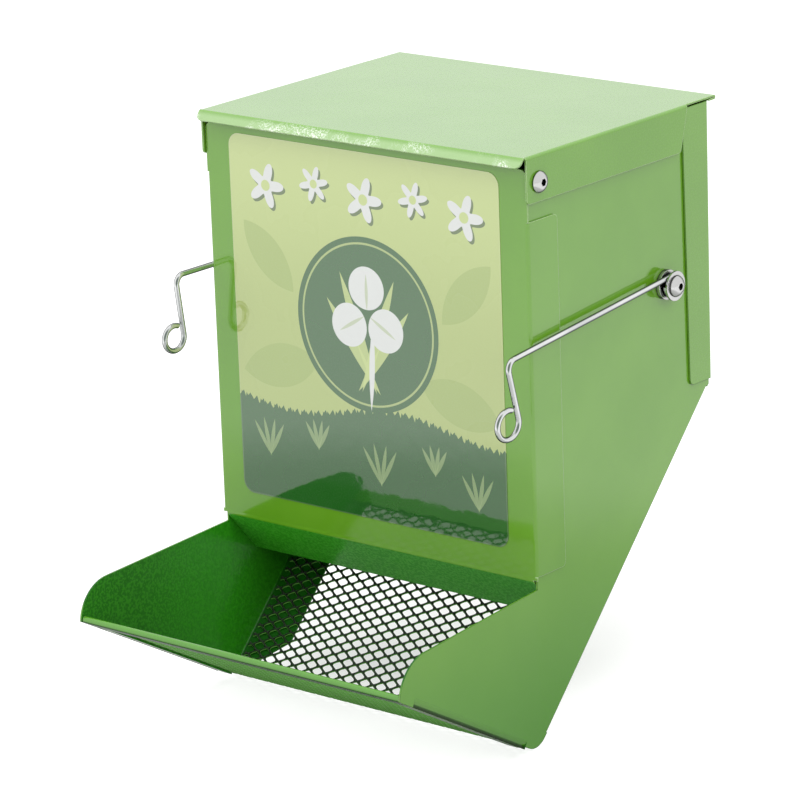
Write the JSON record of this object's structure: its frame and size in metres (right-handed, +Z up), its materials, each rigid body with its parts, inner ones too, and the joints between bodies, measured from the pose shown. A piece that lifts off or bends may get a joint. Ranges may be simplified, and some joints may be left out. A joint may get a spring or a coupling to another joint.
{
  "type": "hay feeder box",
  "caption": "Folded sheet-steel hay feeder for a cage front, with a V-shaped trough, expanded-metal base, hinged lid and wire hooks.",
  "frame": {"origin": "middle of the front face that bears on the cage bars, on the label's outer surface", "axes": "+X to the feeder's right as seen from the front, +Y back through the hopper, +Z up"},
  "size_m": [0.165, 0.1976, 0.2237],
  "materials": {
    "green_coat": "gloss",
    "mesh_coat": "gloss",
    "label_print": "satin",
    "zinc_steel": "polished",
    "wire_steel": "polished"
  },
  "bodies": {
    "feeder_box": {"left_side_panel": "green_coat", "right_side_panel": "green_coat", "front_panel": "green_coat", "back_panel": "green_coat", "mesh_floor_rear": "mesh_coat", "mesh_floor_front": "mesh_coat", "lip_strip": "green_coat", "front_label": "label_print", "lid_pivot_screws": "zinc_steel", "lid_pivot_washers": "zinc_steel", "lid_pivot_nuts": "zinc_steel", "hook_pivot_screws": "zinc_steel", "hook_outer_washers": "zinc_steel", "hook_inner_washers": "zinc_steel", "hook_pivot_nuts": "zinc_steel"},
    "lid": {"lid": "green_coat"},
    "left_hook": {"left_hook": "wire_steel"},
    "right_hook": {"right_hook": "wire_steel"}
  },
  "joints": [
    {"name": "lid_hinge", "type": "hinge", "parent": "feeder_box", "child": "lid", "pos_m": [0, 0.006, 0.0689], "axis": [1, 0, 0], "range_deg": [0, 90]},
    {"name": "right_hook_pivot", "type": "hinge", "parent": "feeder_box", "child": "right_hook", "pos_m": [0.0781, 0.083, 0.0133], "axis": [1, 0, 0], "range_deg": [-35.3, 291]},
    {"name": "left_hook_pivot", "type": "hinge", "parent": "feeder_box", "child": "left_hook", "pos_m": [-0.0781, 0.083, 0.0133], "axis": [1, 0, 0], "range_deg": [-30.1, 301]}
  ]
}
